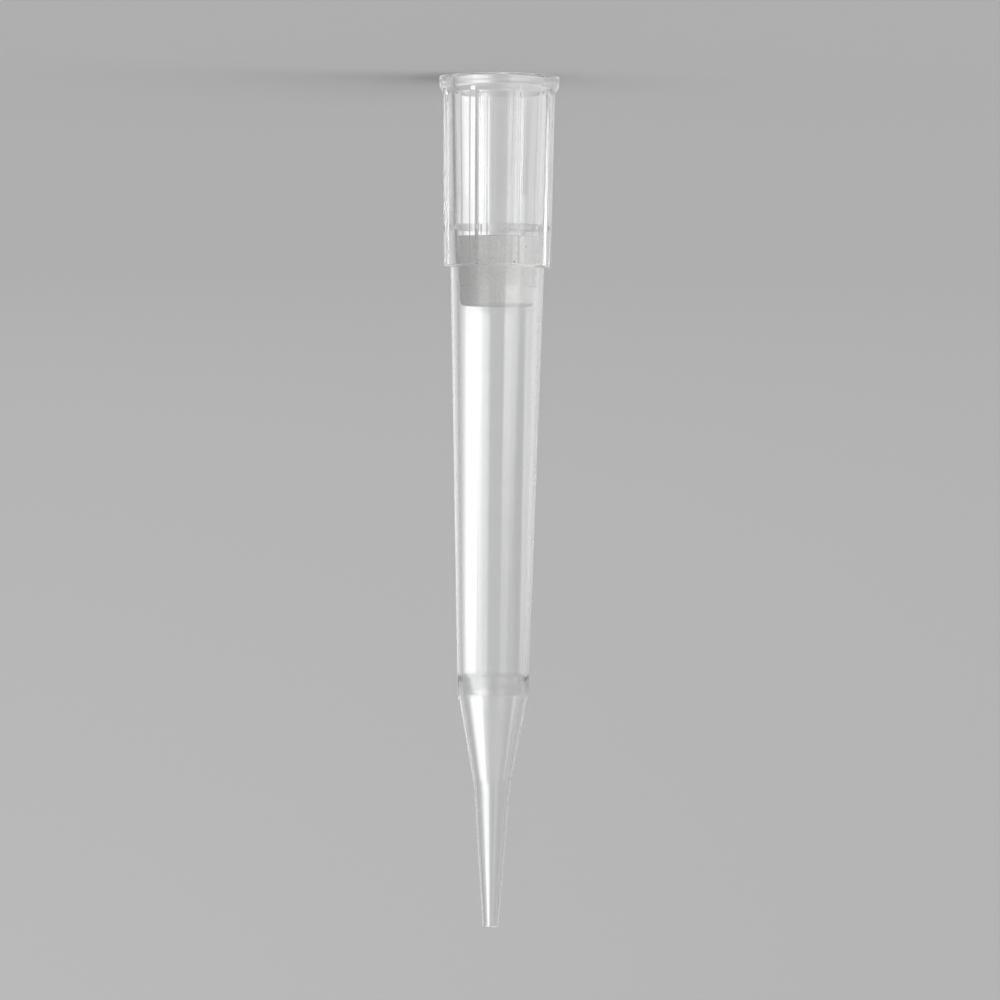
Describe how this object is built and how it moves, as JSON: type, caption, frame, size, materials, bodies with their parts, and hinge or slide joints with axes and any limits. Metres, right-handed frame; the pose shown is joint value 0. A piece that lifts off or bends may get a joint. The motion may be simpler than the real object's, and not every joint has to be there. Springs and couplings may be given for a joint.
{
  "type": "pipette tip",
  "caption": "Translucent tapered pipette tip with a flanged, ribbed socket collar, a long barrel, a fine nozzle and a white porous filter plug inside the bore.",
  "frame": {"origin": "centre of the rim's flat end, the face the tip stands on", "axes": "+Z along the tip's axis from the rim to the nozzle; X and Y across it, with -Y towards the viewer"},
  "size_m": [0.0084, 0.0084, 0.0595],
  "materials": {
    "clear_polypropylene": "natural polypropylene, glossy, clear with a slight milky haze",
    "white_porous_plastic": "sintered polyethylene grains, matt white"
  },
  "bodies": {
    "root": {"tip_body": "clear_polypropylene", "filter_plug": "white_porous_plastic"}
  },
  "joints": []
}
